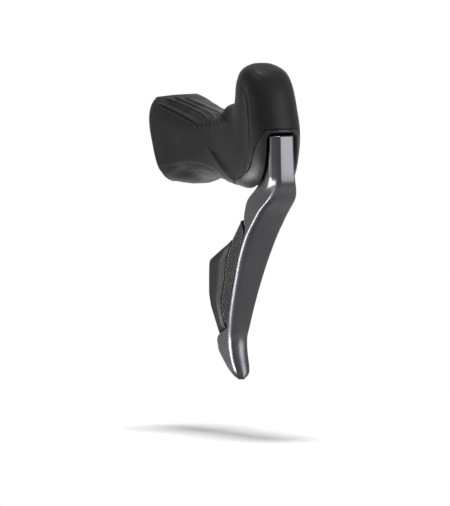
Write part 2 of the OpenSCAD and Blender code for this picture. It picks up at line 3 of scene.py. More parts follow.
import bmesh
import bpy
import numpy as np
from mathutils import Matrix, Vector


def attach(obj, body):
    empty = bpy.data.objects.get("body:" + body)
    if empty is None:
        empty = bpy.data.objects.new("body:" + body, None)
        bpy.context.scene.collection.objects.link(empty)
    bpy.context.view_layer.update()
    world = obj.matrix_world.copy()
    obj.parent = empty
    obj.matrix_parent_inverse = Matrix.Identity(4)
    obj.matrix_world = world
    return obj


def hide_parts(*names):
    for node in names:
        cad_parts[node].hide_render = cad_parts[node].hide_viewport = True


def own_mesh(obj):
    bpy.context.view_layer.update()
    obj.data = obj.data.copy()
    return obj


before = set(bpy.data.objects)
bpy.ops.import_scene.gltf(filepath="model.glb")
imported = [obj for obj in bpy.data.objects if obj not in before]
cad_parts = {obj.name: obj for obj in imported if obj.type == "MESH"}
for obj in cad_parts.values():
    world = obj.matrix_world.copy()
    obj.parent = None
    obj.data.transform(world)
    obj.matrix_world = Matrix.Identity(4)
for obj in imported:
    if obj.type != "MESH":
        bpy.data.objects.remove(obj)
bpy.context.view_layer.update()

MM = 0.001

# Form of the hood, in millimetres, after part.scad, with a fuller rim round the elbow and finer ends
ELBOW_X, ELBOW_Z, HORN_TOP = 64.0, 34.0, 46.8
GRIP_HALF_W, HEAD_HALF_W = 20.0, 17.0
HOOD_WALL = 1.8
MOUTH_HALF_W, MOUTH_ROOF = 9.9, 10.4
SLOT_FROM = 74.4
BAR_R, BAR_GAP, BAR_LEAN = 12.0, 0.3, math.radians(20)
# Grip: forward place, lean, top, bottom, share of half width
GRIP = (
    (-1.4, 0.40, 21.0, -16.4, 0.85),
    (-0.6, 0.40, 23.8, -19.2, 0.93),
    (1.0, 0.40, 26.4, -21.6, 0.985),
    (3.2, 0.38, 27.4, -22.6, 1.0),
    (10, 0.30, 26.2, -22.6, 1.0),
    (21, 0.19, 22.5, -21.2, 0.96),
    (33, 0.10, 19.8, -18.6, 0.87),
    (45, 0.03, 19.2, -18.2, 0.81),
    (55, 0.0, 20.6, -18.6, 0.80),
)
# Elbow: angle from level, inner radius, outer radius, share of half width, share of the head's section
ELBOW = (
    (-90, 11.2, 53.4, 0.95, 0.2),
    (-76, 10.6, 56.4, 0.97, 0.45),
    (-65, 10.2, 61.8, 0.99, 0.7),
    (-54, 10.0, 65.8, 1.0, 0.9),
    (-43, 10.0, 62.6, 1.0, 1.0),
    (-31, 10.0, 55.0, 0.98, 1.0),
    (-18, 10.0, 46.2, 0.95, 1.0),
    (0, 10.0, 39.4, 0.90, 1.0),
)
# Horn: share of height, rear place, front place, share of half width
HORN = (
    (0.38, 75.2, 100.6, 0.83),
    (0.66, 76.8, 97.2, 0.71),
    (0.88, 79.8, 92.0, 0.47),
    (0.98, 82.8, 88.6, 0.22),
    (0.992, 84.4, 87.0, 0.09),
    (0.997, 85.6, 85.8, 0.005),
)
# Hood's front edge on its flanks, forward place by height, with its top and its lean
SEAM_Z = (-30.0, -17.4, -14.6, -10.9, -7.5, -2.2, 1.9, 6.8, 11.4)
SEAM_X = (70.0, 79.0, 89.0, 96.0, 99.0, 101.1, 102.5, 104.9, 106.9)
SEAM_TOP = 12.3
SEAM_LEAN = 0.9
# Sections of the hood: squareness, what the head and the grip's rear add to it, and how far corners are cut;
# how far forward the rear reaches, and the share of the rings that lie on the grip
SQUARE, HEAD_SQUARE, REAR_TOP_SQUARE, REAR_LOW_SQUARE = 2.9, 4.0, 0.4, 1.6
GRIP_CUT, HEAD_CUT = 3.0, 1.5
REAR_REACH = 40.0
GRIP_RINGS = 0.58
# Grids of the form, rings by points around, for the hood, the rim and the ribs
HOOD_GRID, RIM_GRID, RIB_GRID = (226, 216), (360, 300), (180, 200)
# Rim of the mouth: how far it lies under the form, its gap to the hood, its height, wall and corner
RIM_SUNK, RIM_GAP, RIM_HIGHEST, RIM_WALL, MOUTH_CORNER = 0.15, 0.3, 20.0, 4.0, 4.2

# Relief on the hood's flanks: lines in forward place and height, then how far each stands out or in
SIDE_CREASE = ((50, 3.2), (66, -7.7), (80, -16.5), (90, -21))
RECESS_EDGE = ((5, -17), (13, -13.2), (23, -11.6), (36, -9.6), (47, -10.2), (57, -12.4), (68, -16))
RECESS_FOLD = ((9, -19.5), (18, -16.4), (27, -14.8), (39, -13.4), (51, -14.4), (62, -17))
HORN_SEAM = (
    (80, 39), (86, 36.4), (91.4, 34), (94.2, 31.6), (96.4, 26.6), (98.6, 18), (99.7, 9), (100.1, 1))
CREASE_OUT, CREASE_WIDTH = 0.5, 2.2
CREASE_IN, CREASE_STEP, CREASE_FADE = 1.3, 1.6, 9.0
RECESS_IN, RECESS_STEP, RECESS_LOWEST = 0.3, 0.8, -26.0
GROOVE_IN, GROOVE_WIDTH = 0.45, 0.5
FOLD_IN, FOLD_STEP = 0.45, 0.7
HORN_SEAM_IN, HORN_SEAM_WIDTH = 0.4, 0.45

# Blade: height, front face, half width, depth of the flanks, front wall, all as in part.scad
BLADE_ROWS = (
    (8.3, 112, 5.1, 9.6, 2.2),
    (-5, 112.6, 5.2, 9.6, 2.2),
    (-13, 113.2, 5.4, 11.4, 2.2),
    (-17, 113.2, 5.7, 16, 2.2),
    (-20.2, 112.2, 6.4, 19.2, 2.2),
    (-25.9, 108, 8, 22.4, 2.2),
    (-32.9, 99.6, 8.8, 17.2, 2.2),
    (-37.7, 95, 8.9, 13.3, 2.2),
    (-41.5, 91.5, 9, 8.6, 2.2),
    (-46.2, 87.4, 9, 5.5, 2.2),
    (-54.5, 81.8, 8.7, 4.6, 2.2),
    (-61, 78, 8.3, 4.2, 2.2),
    (-68.4, 74.4, 7.7, 4.2, 2.2),
    (-78.4, 69.9, 7, 4.4, 2.4),
    (-92.2, 64.6, 6.1, 4.8, 4),
    (-98, 63, 5.6, 5.4, 4.8),
    (-101.5, 62.3, 5.4, 12.8, 12.2),
    (-104.8, 62, 5.2, 15.6, 15),
    (-108.6, 62.3, 5.1, 15, 14.4),
    (-113, 63.4, 4.9, 12.3, 11.7),
    (-117.4, 65, 4.7, 9.4, 8.8),
    (-121.5, 66.3, 4.2, 6.8, 6.2),
    (-124.2, 66.8, 3, 4.4, 3.8),
    (-125.3, 66.6, 1.6, 2.6, 2),
)
BLADE_WALL = 2.0
# Heights between which the blade turns into its head and into its hook
HEAD_SPAN, HOOK_SPAN = (-26.0, -12.0), (-96.0, -104.0)
# What the scene adds: deeper flanks at the head and the hook, and a wider far side, each with its heights
HEAD_DEEPER, HEAD_DEEPER_SPAN = 4.2, (-19.0, -9.0)
HOOK_DEEPER, HOOK_DEEPER_SPANS = 1.3, ((-108.0, -112.0), (-124.0, -118.0))
FAR_WIDER, FAR_WIDER_SPAN = 0.8, (-126.0, -122.0)
# Blade's edges, each below the head and at the head, or above the hook and at the hook
NEAR_BACK, NEAR_IN = (2.9, 1.0), (3.2, 1.6)
FAR_EDGE, CROWN = (0.7, 1.0), (0.1, 0.7)
NEAR_SOFT, FAR_SOFT = (0.9, 0.3), (0.5, 2.0)
FLARE_SHARE, FLARE_OUT, SPLAY = (0.5, 0.22), 2.9, 3.3
# Rows and easing of the blade, the shares of a width that walls and edges may take, and its least opening
BLADE_STEPS, BLADE_EASE = 240, 7
WALL_SHARE, EDGE_SHARE, LEAST_OPEN = 0.45, 0.4, 0.6
# How far its other corners are rounded: at the rear outside and inside, at the flare, the crown and the floor
REAR_SOFT, LIP_SOFT, FLARE_SOFT, CROWN_SOFT, FLOOR_SOFT = 0.7, 0.4, 1.2, 1.5, 1.0
# Arm: its web's front end, half height at the pivot, and where its top meets the cam
WEB_FRONT, WEB_LOW, WEB_TOP, WEB_HALF = 110.5, -6.0, 8.0, 5.5
CAM_SHOULDER = (3.4, 1.8)
PIVOT_X, PIVOT_Z = 98.0, 2.5
BUSH_R, BOSS_R, BOSS_HALF_W = 3.41, 6.0, 6.4
ARM_X, CAM_R, ARM_HALF_W = 84.0, 3.2, 4.0
PISTON_TRAVEL, SPRING_WIRE, SPRING_TURNS = 4.9, 0.4, 3

# Paddles: the pin they turn on, then the plates' distance, thickness, turn, lean and rounded edges
PIN = (69.0, -3.2, -66.0)
PIN_LEAN = math.radians(20)
PADDLE_OUT, PADDLE_T = 4.8, 2.0
PADDLE_TURN, PADDLE_LEAN = math.radians(6), math.radians(6.7)
PADDLE_EDGE, PADDLE_BACK_EDGE = 0.6, 0.3
# Feet of the paddles about their pin: barrel, web, how far the web reaches, the arm's two faces and its end
BARREL_R, WEB_T, WEB_OUT = 2.0, 2.6, -5.2
FOOT_OUT, FOOT_IN, FOOT_END = -1.4, 1.0, -1.5
# Dots on the front paddle: spacing along and across, radius, height, how far their face is sunk, the forward
# places of their middle by depth, and the heights that they fill
DOT_ALONG, DOT_ACROSS, DOT_R, DOT_OUT, DOT_SUNK = 2.7, 3.5, 0.5, 0.36, 0.1
DOT_HEIGHTS, DOT_MIDDLES = (38, 97), (81, 57)
DOTS_FROM, DOTS_TO = -42.5, -95.5
# Rear paddle's face: how far it is sunk at its edges, how far it rises and where across
FACE_SUNK, FACE_OUT, FACE_HIGH = 0.3, 0.35, 0.6
# Edges of the plates in their own leaning plane, forward place and height, after part.scad
FRONT_REAR_EDGE = (
    (80.5, -38.4), (77.9, -41.4), (70.4, -49.6), (65.5, -56.7), (62.4, -62), (60.8, -67.9), (59.5, -73),
    (57.2, -78.4), (54.9, -83.5), (54.4, -87.3), (55.3, -92.6), (55.9, -96), (57.2, -96.4))
FRONT_FRONT_EDGE = (
    (80.7, -38.4), (81.6, -43.4), (81.1, -46.3), (76.5, -54.5), (73.2, -61.2), (69.6, -68.6), (65.1, -78.7),
    (59.6, -92.6), (58.3, -96.4))
REAR_REAR_EDGE = (
    (69.5, -49.8), (50.3, -60.1), (47.5, -61.8), (46.5, -64.2), (45.1, -72), (43.8, -80.3), (44.4, -86.8),
    (49.6, -101.2), (50.2, -101.4))
REAR_FRONT_EDGE = (
    (69.8, -49.8), (64.9, -56.9), (61.8, -62.2), (60.2, -68.0), (58.9, -73.2), (56.6, -78.6), (54.3, -83.5),
    (53.8, -87.3), (54.7, -92.6), (55.3, -96.4), (57.3, -98.2), (50.8, -101.4))

# The photograph's view: turned 30 degrees from the front towards the outboard side, 4 degrees above level
VIEW_TURN, VIEW_RISE = math.radians(30), math.radians(4)
TOWARD = np.array((
    math.cos(VIEW_RISE) * math.cos(VIEW_TURN),
    -math.cos(VIEW_RISE) * math.sin(VIEW_TURN),
    math.sin(VIEW_RISE)))
RIGHT = np.array((math.sin(VIEW_TURN), math.cos(VIEW_TURN), 0.0))
UP = np.cross(TOWARD, RIGHT)


def smooth(x):
    """0 below 0, 1 above 1, with a soft step between."""
    x = np.clip(x, 0.0, 1.0)
    return x * x * (3 - 2 * x)


def ramp(value, start, end):
    """0 at start and 1 at end, with a soft step between."""
    return smooth((value - start) / (end - start))


def mixed(share, low, high):
    """Low where share is 0, high where it is 1."""
    return low + (high - low) * share


def bump(x, width):
    """Bell of unit height."""
    return np.exp(-((x / width) ** 2))


def through(at, values, wanted):
    """Rows at the wanted places of a smooth curve through rows of values, which never overshoots."""
    gaps = np.diff(at)
    slopes = np.diff(values, axis=0) / gaps[:, None]
    tangents = np.zeros_like(values)
    for i in range(1, len(at) - 1):
        before, after = 2 * gaps[i] + gaps[i - 1], gaps[i] + 2 * gaps[i - 1]
        same = slopes[i - 1] * slopes[i] > 0
        a, b = np.where(same, slopes[i - 1], 1.0), np.where(same, slopes[i], 1.0)
        tangents[i] = np.where(same, (before + after) / (before / a + after / b), 0.0)
    tangents[0], tangents[-1] = slopes[0], slopes[-1]
    k = np.clip(np.searchsorted(at, wanted) - 1, 0, len(at) - 2)
    gap = gaps[k][:, None]
    x = (np.clip(wanted, at[0], at[-1]) - at[k])[:, None] / gap
    rows = (2 * x**3 - 3 * x**2 + 1) * values[k] + (x**3 - 2 * x**2 + x) * gap * tangents[k]
    return rows + (3 * x**2 - 2 * x**3) * values[k + 1] + (x**3 - x**2) * gap * tangents[k + 1]


def eased(values, reach):
    """Values drawn out over their neighbours on each side, the ends kept."""
    kernel = np.hanning(2 * reach + 3)[1:-1]
    padded = np.pad(values, reach, mode="reflect", reflect_type="odd")
    return np.convolve(padded, kernel / kernel.sum(), mode="valid")


def stations():
    """Rows of centre x and z, half height as x and z, half width, share of the head, share of the rear."""
    rows = []
    for place, lean, top, bottom, share in GRIP:
        mid, half = (top + bottom) / 2, (top - bottom) / 2
        rear = max(0.0, 1 - place / REAR_REACH)
        rows.append((place - lean * mid, mid, -lean * half, half, share * GRIP_HALF_W, 0, rear))
    for angle, near, far, share, head in ELBOW:
        c, s = math.cos(math.radians(angle)), math.sin(math.radians(angle))
        mid, half = (near + far) / 2, (far - near) / 2
        centre = (ELBOW_X + mid * c, ELBOW_Z + mid * s)
        rows.append((*centre, -half * c, -half * s, share * HEAD_HALF_W, head, 0))
    for height, back, front, share in HORN:
        z = ELBOW_Z + height * (HORN_TOP - ELBOW_Z)
        rows.append(((back + front) / 2, z, (back - front) / 2, 0, share * HEAD_HALF_W, 1, 0))
    return np.array(rows, float)


def form(rings, around):
    """Plain form of the hood as a grid of points, rings by around, and its outward normals."""
    rows = stations()
    step = np.diff(rows[:, :5], axis=0)
    gap = np.hypot(step[:, 0], step[:, 1]) + np.hypot(step[:, 2], step[:, 3]) + abs(step[:, 4])
    run = np.concatenate([[0], np.cumsum(gap)])
    split, on_grip = run[len(GRIP)], int(rings * GRIP_RINGS)
    places = np.concatenate([
        np.linspace(0, split, on_grip, endpoint=False), np.linspace(split, run[-1], rings - on_grip)])
    middle_x, middle_z, half_x, half_z, half_w, head, rear = through(run, rows, places).T[..., None]
    angle = np.linspace(0, 2 * np.pi, around, endpoint=False)
    across, up = np.cos(angle)[None], np.sin(angle)[None]
    far_top, low = smooth(2 * across) * smooth(2 * up), smooth(-2 * up)
    power = SQUARE + HEAD_SQUARE * head + rear * (REAR_TOP_SQUARE * far_top + REAR_LOW_SQUARE * low)
    cut = mixed(head, GRIP_CUT, HEAD_CUT)
    size = (abs(across) ** power + abs(up) ** power + ((abs(across) + abs(up)) / cut) ** power) ** (1 / power)
    a, b = across / size, up / size
    p = np.stack([middle_x + half_x * b, half_w * a, middle_z + half_z * b], -1)
    return p, normals(p)


def normals(p):
    """Outward normals of a closed grid."""
    along = np.gradient(p, axis=0)
    round_ = (np.roll(p, -1, 1) - np.roll(p, 1, 1)) / 2
    n = np.cross(round_, along)
    return n / (np.linalg.norm(n, axis=-1, keepdims=True) + 1e-9)


def to_line(x, z, points):
    """Signed distance to a bent line in the XZ plane, positive on its left, and the share along it."""
    points = np.asarray(points, float)
    lengths = np.hypot(*np.diff(points, axis=0).T)
    total, start = lengths.sum(), 0.0
    best = np.full(x.shape, 1e9)
    side, share = np.zeros(x.shape), np.zeros(x.shape)
    for (ax, az), (bx, bz), length in zip(points[:-1], points[1:], lengths):
        dx, dz = (bx - ax) / length, (bz - az) / length
        along = (x - ax) * dx + (z - az) * dz
        held = np.clip(along, 0, length)
        away = np.hypot(x - ax - held * dx, z - az - held * dz)
        nearer = away < best
        cross = dx * (z - az) - dz * (x - ax)
        best = np.where(nearer, away, best)
        side = np.where(nearer, np.sign(cross), side)
        share = np.where(nearer, (start + along) / total, share)
        start += length
    return best * side, share


def fade(share, start, end):
    """1 along a line, falling softly to 0 past its ends."""
    return smooth(share / start) * smooth((1 - share) / end)


def relief(p):
    """How far the hood's surface stands out from its plain form, in millimetres."""
    x, y, z = p[..., 0], p[..., 1], p[..., 2]
    flank = ramp(abs(y), start=7, end=11)
    out = np.zeros(x.shape)
    # Side crease: a ridge, with the surface drawn in above it
    away, share = to_line(x, z, SIDE_CREASE)
    ridge = fade(share, start=0.3, end=0.05) * flank
    out += CREASE_OUT * bump(away, CREASE_WIDTH) * ridge
    out -= CREASE_IN * smooth(away / CREASE_STEP) * np.exp(-np.maximum(away, 0) / CREASE_FADE) * ridge
    # Lower recess: drawn in below its edge, with a groove along the edge and a fold below it
    away, share = to_line(x, z, RECESS_EDGE)
    low = flank * fade(share, start=0.04, end=0.06)
    out -= RECESS_IN * smooth(-away / RECESS_STEP) * low * ramp(z, RECESS_LOWEST, RECESS_LOWEST + 4)
    out -= GROOVE_IN * bump(away, GROOVE_WIDTH) * low
    away, share = to_line(x, z, RECESS_FOLD)
    low = ramp(abs(y), start=4, end=8) * fade(share, start=0.05, end=0.1)
    out -= FOLD_IN * smooth(-away / FOLD_STEP) * low
    # Seam of the horn
    away, share = to_line(x, z, HORN_SEAM)
    side = ramp(abs(y), start=8, end=10) * fade(share, start=0.03, end=0.05)
    out -= HORN_SEAM_IN * bump(away, HORN_SEAM_WIDTH) * side
    return out


# Lines on the near side as the photograph shows them, in millimetres right of and above the bar's centre
CROWN_LINE = ((37.4, 39.4), (40.5, 37.2), (44.0, 34.6), (48.0, 31.8))
RIBS = (
    ((-14.6, 20.6), (-3.3, 15.1), (6.4, 9.8), (8.6, 8.2), (10.4, 4.6)),
    ((-11.0, 23.4), (2.2, 17.9), (10.6, 13.8), (13.8, 11.4), (13.8, 7.4), (13.4, 3.8)),
    ((-5.6, 23.9), (2.2, 20.1), (13.2, 15.1), (17.4, 12.6), (18.0, 9.4), (18.6, 5.0)),
    ((0.2, 23.6), (6.6, 20.2), (15.4, 16.4), (21.0, 14.0), (21.8, 10.4), (23.4, 6.0)),
)
# Profiles across a line: distance above it and height over the form. A rib has a groove and a lip at its foot
RIB_PROFILE = (
    (3.0, -0.35), (2.2, 0.05), (1.4, 0.45), (0.6, 0.9), (0.25, 1.0), (0.05, 0.85), (-0.1, 0.3), (-0.25, 0.08),
    (-0.4, 0.2), (-0.65, 0.66), (-0.95, 0.76), (-1.4, 0.5), (-2.1, 0.12), (-2.8, -0.35))
CREASE_PROFILE = (
    (3.0, -0.4), (1.8, -0.12), (0.8, 0.06), (0.35, 0.2), (0.0, 0.26), (-0.5, 0.2), (-2.4, 0.0), (-4.5, -0.35))
# How far a rib's base and its ends lie below the surface, and how far forward ribs and crease may lie
RIB_BASE, RIB_ENDS = -1.2, -0.4
RIBS_TO_X, CREASE_TO_X = 86.0, 110.0
# Points along a rib, those that an inboard rib leaves out at its start, and the share of height that it has
RIB_POINTS, RIB_LATE, INBOARD_SHARE = 72, 18, 0.5
# Least tilt towards the picture that a point of the form needs, and that a tangent plane is followed with
LEAST_SEEN, LEAST_TILT = 0.03, 0.2
NEAR_POINTS, NEAR_BLUR = 6, 0.02


def seam_sign(p):
    """Positive in front of the hood's front edge, in millimetres."""
    x, z = p[..., 0], p[..., 2]
    front = (x - np.interp(z, SEAM_Z, SEAM_X)) * SEAM_LEAN
    return np.minimum(front, SEAM_TOP - z)


def softened(line, count, width=2.0):
    """Even points along a bent line whose corners are softened over a width in millimetres."""
    line = np.asarray(line, float)
    along = np.concatenate([[0], np.cumsum(np.hypot(*np.diff(line, axis=0).T))])
    at = np.linspace(0, along[-1], count)
    reach = max(1, int(width / (at[1] - at[0])))
    return np.stack([eased(np.interp(at, along, values), reach) for values in line.T], -1)


def seen_on(p, n, across, up, side, to_x):
    """Points and normals of the form on one side, under places in the picture plane."""
    mirror = np.array((1.0, side, 1.0))
    seen = ((n * mirror) @ TOWARD > LEAST_SEEN) & (p[..., 0] < to_x)
    points, facing = (p * mirror)[seen], (n * mirror)[seen]
    plane = np.stack([points @ RIGHT, points @ UP], -1)
    wanted = np.stack([across, up], -1).reshape(-1, 2)
    far = np.sum((wanted[:, None] - plane[None]) ** 2, -1)
    nearest = np.argpartition(far, NEAR_POINTS, axis=1)[:, :NEAR_POINTS]
    weight = 1 / (np.take_along_axis(far, nearest, 1) + NEAR_BLUR)
    weight /= weight.sum(1, keepdims=True)
    # Each near point's own tangent plane is followed to the wanted place, and the results are mixed
    step = wanted[:, None] - plane[nearest]
    sideways = step[..., :1] * RIGHT + step[..., 1:] * UP
    tilt = np.maximum(facing[nearest] @ TOWARD, LEAST_TILT)
    rise = -np.sum(facing[nearest] * sideways, -1) / tilt
    spots = points[nearest] + sideways + rise[..., None] * TOWARD
    place = np.sum(spots * weight[..., None], 1).reshape(*across.shape, 3) * mirror
    normal = np.sum(facing[nearest] * weight[..., None], 1).reshape(*across.shape, 3) * mirror
    return place, normal / np.linalg.norm(normal, axis=-1, keepdims=True)


def rib(name, line, side, p, n, profile=RIB_PROFILE, to_x=RIBS_TO_X):
    """Raised line on the hood, with a profile, lying on the plain form on one side."""
    path = softened(line, RIB_POINTS)
    if side < 0:
        path = path[RIB_LATE:]
    along = np.gradient(path, axis=0)
    along /= np.linalg.norm(along, axis=1, keepdims=True)
    above = np.stack([-along[:, 1], along[:, 0]], -1)
    offset, raised = np.array(profile).T
    share = np.linspace(0, 1, len(path))[:, None]
    # The profile starts narrow, and its height falls away at both ends
    width = mixed(ramp(share, start=0, end=0.3), low=0.4, high=1.0)
    spots = path[:, None] + above[:, None] * (offset[None] * width)[..., None]
    place, normal = seen_on(p, n, spots[..., 0], spots[..., 1], side, to_x)
    strength = fade(share, start=0.1, end=0.12) * (1.0 if side > 0 else INBOARD_SHARE)
    height = mixed(strength, RIB_ENDS, raised[None])
    top = place + normal * height[..., None]
    base = (place + normal * RIB_BASE)[:, [-1, 0]]
    return tube(name, np.concatenate([top, base], 1), RUBBER)


def bar_sign(p):
    """Positive inside the handlebar and behind its axis, in millimetres."""
    ahead = p[..., 0] * math.cos(BAR_LEAN) + p[..., 2] * math.sin(BAR_LEAN)
    away = np.hypot(np.maximum(ahead, 0.0), p[..., 1])
    return BAR_R + BAR_GAP - away


def slot_sign(p):
    """Positive where the lever's slot runs out through the hood's underside, in millimetres."""
    inside = np.minimum(MOUTH_HALF_W - abs(p[..., 1]), p[..., 0] - SLOT_FROM)
    return np.minimum(inside, -p[..., 2])


def mouth_sign(p):
    """Positive inside the opening of the mouth, in millimetres."""
    past_side = abs(p[..., 1]) - (MOUTH_HALF_W - MOUTH_CORNER)
    past_roof = p[..., 2] - (MOUTH_ROOF - MOUTH_CORNER)
    away = np.hypot(np.maximum(past_side, 0), np.maximum(past_roof, 0))
    return MOUTH_CORNER - away - np.minimum(np.maximum(past_side, past_roof), 0)


def trimmed(p, keep):
    """Grid cut along keep = 0: returns points and quads of the part where keep is positive."""
    rings, around = keep.shape
    index = np.arange(rings * around).reshape(rings, around)
    a, b = index[:-1], np.roll(index, -1, 1)[:-1]
    c, d = np.roll(index, -1, 1)[1:], index[1:]
    quads = np.stack([a, b, c, d], -1).reshape(-1, 4)
    points, value = p.reshape(-1, 3).copy(), keep.reshape(-1)
    inside = value > 0
    used = quads[inside[quads].any(1)]
    moved = {}
    for quad in used:
        for k in range(4):
            here = quad[k]
            if inside[here] or here in moved:
                continue
            for other in (quad[k - 1], quad[(k + 1) % 4], quad[(k + 2) % 4]):
                if inside[other]:
                    share = value[other] / (value[other] - value[here])
                    moved[here] = points[other] + (points[here] - points[other]) * share
                    break
    for here, place in moved.items():
        points[here] = place
    names = np.unique(used)
    order = np.full(len(points), -1)
    order[names] = np.arange(len(names))
    return points[names], order[used]


def mesh_object(name, points, faces, material, soft=True):
    """Object from points in millimetres."""
    mesh = bpy.data.meshes.new(name)
    mesh.from_pydata((np.asarray(points) * MM).tolist(), [], [list(map(int, f)) for f in faces])
    mesh.validate()
    if soft:
        mesh.shade_smooth()
    thing = bpy.data.objects.new(name, mesh)
    bpy.context.scene.collection.objects.link(thing)
    mesh.materials.append(material)
    return thing


def solidify(thing, wall):
    """Gives a surface its wall, inward."""
    change = thing.modifiers.new("wall", "SOLIDIFY")
    change.thickness = wall * MM
    change.offset = -1.0
    change.use_even_offset = False


def rounded(corners, radii, steps=5):
    """Closed outlines, rings by corners by 2, with each corner rounded off by its own radius."""
    before, after = np.roll(corners, 1, 1), np.roll(corners, -1, 1)
    pieces, ends = [], []
    for other in (before, after):
        way = other - corners
        length = np.linalg.norm(way, axis=-1, keepdims=True) + 1e-9
        ends.append(corners + way * np.minimum(radii[..., None] / length, 0.48))
    for t in np.linspace(0, 1, steps):
        pieces.append((1 - t) ** 2 * ends[0] + 2 * t * (1 - t) * corners + t * t * ends[1])
    return np.stack(pieces, 2).reshape(len(corners), -1, 2)


def inset(ring, amount):
    """Closed outline drawn in by an amount, as points by 2."""
    along = np.roll(ring, -1, 0) - np.roll(ring, 1, 0)
    inward = np.stack([-along[:, 1], along[:, 0]], -1)
    inward /= np.linalg.norm(inward, axis=-1, keepdims=True) + 1e-9
    turn = np.sign(np.sum(ring[:, 0] * np.roll(ring[:, 1], -1) - np.roll(ring[:, 0], -1) * ring[:, 1]))
    return ring + inward * amount * turn


def lofted(name, rings, heights, material, place=None, edge=0.3):
    """Closed solid through outlines in x and y at heights, its two ends softened."""
    first, last = inset(rings[0], edge), inset(rings[-1], edge)
    step = edge * np.sign(heights[-1] - heights[0])
    rings = np.concatenate([[first], rings, [last]])
    heights = np.concatenate([[heights[0] - step], heights, [heights[-1] + step]])
    points = np.concatenate([rings, np.broadcast_to(heights[:, None, None], (*rings.shape[:2], 1))], -1)
    if place is not None:
        points = place(points)
    return tube(name, points, material)


def tube(name, rings, material):
    """Closed solid through a list of rings of points."""
    rows, count = rings.shape[:2]
    index = np.arange(rows * count).reshape(rows, count)
    ahead = np.roll(index, -1, 1)
    quads = np.stack([index[:-1], ahead[:-1], ahead[1:], index[1:]], -1).reshape(-1, 4)
    faces = [tuple(q) for q in quads] + [tuple(index[0][::-1]), tuple(index[-1])]
    thing = mesh_object(name, rings.reshape(-1, 3), faces, material)
    outward(thing)
    return thing


def outward(thing):
    """Turns a mesh's faces outward."""
    mesh = bmesh.new()
    mesh.from_mesh(thing.data)
    bmesh.ops.recalc_face_normals(mesh, faces=mesh.faces)
    mesh.to_mesh(thing.data)
    mesh.free()


# Materials: broad drift in repeats to the metre, and how deep the grain is in metres
DRIFT, GRAIN_DEEP = 45.0, 0.0002


def shader(name, colour, rough, metallic=0.0, specular=0.5):
    """Material with a Principled shader; returns it with its nodes."""
    material = bpy.data.materials.new(name)
    material.use_nodes = True
    nodes, links = material.node_tree.nodes, material.node_tree.links
    main = nodes["Principled BSDF"]
    main.inputs["Base Color"].default_value = (*colour, 1)
    main.inputs["Roughness"].default_value = rough
    main.inputs["Metallic"].default_value = metallic
    main.inputs["Specular IOR Level"].default_value = specular
    return material, nodes, links, main


def noise(nodes, links, scale, detail):
    """Noise in object space, in repeats to the metre."""
    place = nodes.new("ShaderNodeTexCoord")
    texture = nodes.new("ShaderNodeTexNoise")
    texture.inputs["Scale"].default_value = scale
    texture.inputs["Detail"].default_value = detail
    links.new(place.outputs["Object"], texture.inputs["Vector"])
    return texture


def ranged(nodes, links, source, low, high):
    """Noise taken to low to high."""
    change = nodes.new("ShaderNodeMapRange")
    change.inputs["From Min"].default_value = 0.3
    change.inputs["From Max"].default_value = 0.7
    change.inputs["To Min"].default_value = low
    change.inputs["To Max"].default_value = high
    links.new(source, change.inputs["Value"])
    return change.outputs["Result"]


def tinted(nodes, links, source, low, high):
    """Noise taken between two colours."""
    mix = nodes.new("ShaderNodeMix")
    mix.data_type = "RGBA"
    mix.inputs["A"].default_value = (*low, 1)
    mix.inputs["B"].default_value = (*high, 1)
    links.new(source, mix.inputs["Factor"])
    return mix.outputs["Result"]


def varied(name, low, high, rough, grain=1500.0, depth=0.05, metallic=0.0, specular=0.5):
    """Material whose colour and roughness drift, with a fine grain."""
    material, nodes, links, main = shader(name, low, rough[0], metallic, specular)
    broad = noise(nodes, links, DRIFT, detail=3.0)
    links.new(tinted(nodes, links, broad.outputs["Fac"], low, high), main.inputs["Base Color"])
    links.new(ranged(nodes, links, broad.outputs["Fac"], *rough), main.inputs["Roughness"])
    fine = noise(nodes, links, grain, detail=2.0)
    raised = nodes.new("ShaderNodeBump")
    raised.inputs["Strength"].default_value = depth
    raised.inputs["Distance"].default_value = GRAIN_DEEP
    links.new(fine.outputs["Fac"], raised.inputs["Height"])
    links.new(raised.outputs["Normal"], main.inputs["Normal"])
    return material


RUBBER = varied("hood rubber", (0.007, 0.007, 0.0075), (0.0095, 0.0095, 0.01), rough=(0.4, 0.46),
                grain=1800.0, depth=0.2, specular=0.08)
PLASTIC = varied("body plastic", (0.0085, 0.0085, 0.009), (0.0115, 0.0115, 0.012), rough=(0.38, 0.44),
                 grain=2600.0, depth=0.1, specular=0.15)
PADDLE = varied("paddle plastic", (0.009, 0.009, 0.01), (0.0125, 0.0125, 0.0135), rough=(0.34, 0.4),
                grain=2600.0, depth=0.06, specular=0.08)
BLADE = varied("lever metal", (0.044, 0.044, 0.048), (0.05, 0.05, 0.054), rough=(0.28, 0.33),
               grain=2200.0, depth=0.02, metallic=1.0)
STEEL = varied("steel", (0.5, 0.51, 0.53), (0.6, 0.61, 0.63), rough=(0.25, 0.35), metallic=1.0)
DARK_STEEL = varied("dark steel", (0.05, 0.05, 0.055), (0.07, 0.07, 0.075), rough=(0.35, 0.45), metallic=0.8)
SEAL = varied("seal rubber", (0.012, 0.012, 0.012), (0.02, 0.02, 0.02), rough=(0.5, 0.6), depth=0.1)
PISTON = varied("piston plastic", (0.5, 0.44, 0.33), (0.56, 0.5, 0.38), rough=(0.4, 0.5))
BOARD = varied("board", (0.01, 0.09, 0.04), (0.015, 0.12, 0.05), rough=(0.25, 0.35))


